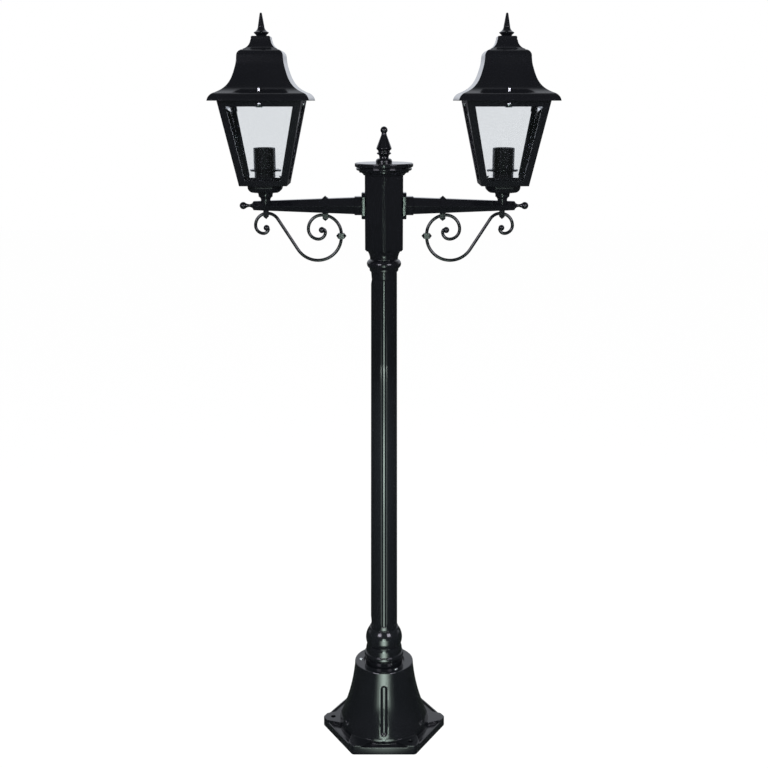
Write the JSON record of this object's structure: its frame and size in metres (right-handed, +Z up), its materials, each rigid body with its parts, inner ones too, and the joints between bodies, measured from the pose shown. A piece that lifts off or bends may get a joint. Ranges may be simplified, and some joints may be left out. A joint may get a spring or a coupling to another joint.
{
  "type": "twin head post light",
  "caption": "Twin head post light: a fluted post on a hexagonal bell base, arms with scrolls, and square glazed lanterns under lift-off pagoda roofs.",
  "frame": {"origin": "on the floor under the post's axis", "axes": "+Z up along the post, X along the two arms, -Y towards the front"},
  "size_m": [0.613, 0.219, 1.414],
  "materials": {
    "black_powder_coat": "glossy black powder coat on cast aluminium",
    "clear_glass": "clear bevelled glass",
    "zinc_steel": "bright zinc plate",
    "holder_black": "glossy black thermoset",
    "socket_brass": "plain brass"
  },
  "bodies": {
    "post": {"base_casting": "black_powder_coat", "base_rim_screws": "zinc_steel", "centre_box": "black_powder_coat", "centre_cap": "black_powder_coat", "centre_finial": "black_powder_coat", "left_arm": "black_powder_coat", "left_arm_ball_end": "black_powder_coat", "left_arm_flange": "black_powder_coat", "left_glass_back": "clear_glass", "left_glass_clips": "zinc_steel", "left_glass_front": "clear_glass", "left_glass_inner": "clear_glass", "left_glass_outer": "clear_glass", "left_inner_clamp": "black_powder_coat", "left_lampholder": "holder_black", "left_lampholder_ring": "holder_black", "left_lantern_bowl": "black_powder_coat", "left_lantern_cage": "black_powder_coat", "left_lantern_stem": "black_powder_coat", "left_outer_clamp": "black_powder_coat", "left_rail_screws": "zinc_steel", "left_roof_studs": "zinc_steel", "left_scroll": "black_powder_coat", "left_scroll_knot": "black_powder_coat", "left_socket_contact": "socket_brass", "left_socket_shell": "socket_brass", "post_foot": "black_powder_coat", "post_head": "black_powder_coat", "post_shaft": "black_powder_coat", "right_arm": "black_powder_coat", "right_arm_ball_end": "black_powder_coat", "right_arm_flange": "black_powder_coat", "right_glass_back": "clear_glass", "right_glass_clips": "zinc_steel", "right_glass_front": "clear_glass", "right_glass_inner": "clear_glass", "right_glass_outer": "clear_glass", "right_inner_clamp": "black_powder_coat", "right_lampholder": "holder_black", "right_lampholder_ring": "holder_black", "right_lantern_bowl": "black_powder_coat", "right_lantern_cage": "black_powder_coat", "right_lantern_stem": "black_powder_coat", "right_outer_clamp": "black_powder_coat", "right_rail_screws": "zinc_steel", "right_roof_studs": "zinc_steel", "right_scroll": "black_powder_coat", "right_scroll_knot": "black_powder_coat", "right_socket_contact": "socket_brass", "right_socket_shell": "socket_brass"},
    "left_roof_body": {"left_roof": "black_powder_coat", "left_roof_finial": "black_powder_coat", "left_roof_nuts": "zinc_steel"},
    "right_roof_body": {"right_roof": "black_powder_coat", "right_roof_finial": "black_powder_coat", "right_roof_nuts": "zinc_steel"}
  },
  "joints": [
    {"name": "left_roof_lift", "type": "slide", "parent": "post", "child": "left_roof_body", "axis": [0, 0, 1], "range_m": [0, 0.15]},
    {"name": "right_roof_lift", "type": "slide", "parent": "post", "child": "right_roof_body", "axis": [0, 0, 1], "range_m": [0, 0.15]}
  ]
}
